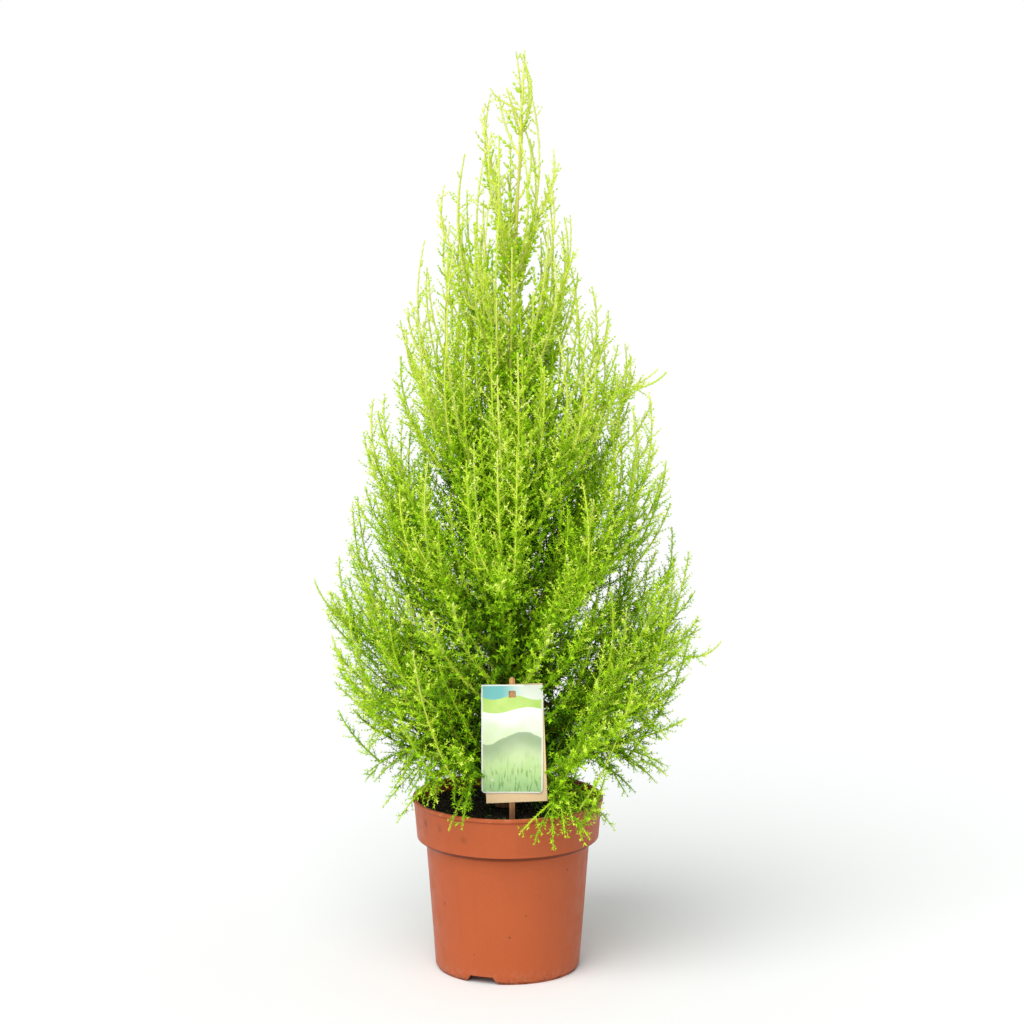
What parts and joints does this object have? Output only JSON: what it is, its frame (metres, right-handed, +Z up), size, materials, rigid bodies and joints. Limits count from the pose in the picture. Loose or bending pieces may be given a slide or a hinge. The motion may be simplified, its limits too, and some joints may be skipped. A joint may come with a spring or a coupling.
{
  "type": "potted lemon cypress",
  "caption": "Narrow conical lemon cypress with feathery yellow-green plumes of needles on one upright stem, in a round plastic nursery pot with a plain plant label.",
  "frame": {"origin": "middle of the flat foot under the pot, on the surface that the pot stands on", "axes": "+Z up along the pot's axis and the tree, -Y towards the front with the plant label, +X to the right seen from the front"},
  "size_m": [0.381, 0.3381, 0.908],
  "materials": {
    "pot": "moulded terracotta-coloured plastic, satin to matte",
    "soil": "moist dark compost, crumbly",
    "bark": "thin brown bark, greener towards the top",
    "bough_bark": "thin brown bark",
    "foliage": "soft yellow-green needles, matte with a slight waxy sheen",
    "stick": "plain split wood, unvarnished",
    "kraft_card": "plain kraft board",
    "printed_card": null
  },
  "bodies": {
    "root": {"bough_low_1": "bough_bark", "bough_low_2": "bough_bark", "bough_low_3": "bough_bark", "bough_low_4": "bough_bark", "bough_low_5": "bough_bark", "bough_low_6": "bough_bark", "bough_low_7": "bough_bark", "bough_lower_1": "bough_bark", "bough_lower_2": "bough_bark", "bough_lower_3": "bough_bark", "bough_lower_4": "bough_bark", "bough_lower_5": "bough_bark", "bough_lower_6": "bough_bark", "bough_lower_7": "bough_bark", "bough_lower_8": "bough_bark", "foliage_leader": "foliage", "foliage_low_1": "foliage", "foliage_low_2": "foliage", "foliage_low_3": "foliage", "foliage_low_4": "foliage", "foliage_low_5": "foliage", "foliage_low_6": "foliage", "foliage_low_7": "foliage", "foliage_lower_1": "foliage", "foliage_lower_2": "foliage", "foliage_lower_3": "foliage", "foliage_lower_4": "foliage", "foliage_lower_5": "foliage", "foliage_lower_6": "foliage", "foliage_lower_7": "foliage", "foliage_lower_8": "foliage", "foliage_middle_1": "foliage", "foliage_middle_2": "foliage", "foliage_middle_3": "foliage", "foliage_middle_4": "foliage", "foliage_middle_5": "foliage", "foliage_middle_6": "foliage", "foliage_middle_7": "foliage", "foliage_middle_8": "foliage", "foliage_skirt_1": "foliage", "foliage_skirt_2": "foliage", "foliage_skirt_3": "foliage", "foliage_skirt_4": "foliage", "foliage_skirt_5": "foliage", "foliage_top_1": "foliage", "foliage_top_2": "foliage", "foliage_top_3": "foliage", "foliage_top_4": "foliage", "foliage_upper_1": "foliage", "foliage_upper_2": "foliage", "foliage_upper_3": "foliage", "foliage_upper_4": "foliage", "foliage_upper_5": "foliage", "label_card_back": "kraft_card", "label_card_front": "printed_card", "label_stick": "stick", "pot": "pot", "soil": "soil", "trunk": "bark"}
  },
  "joints": []
}
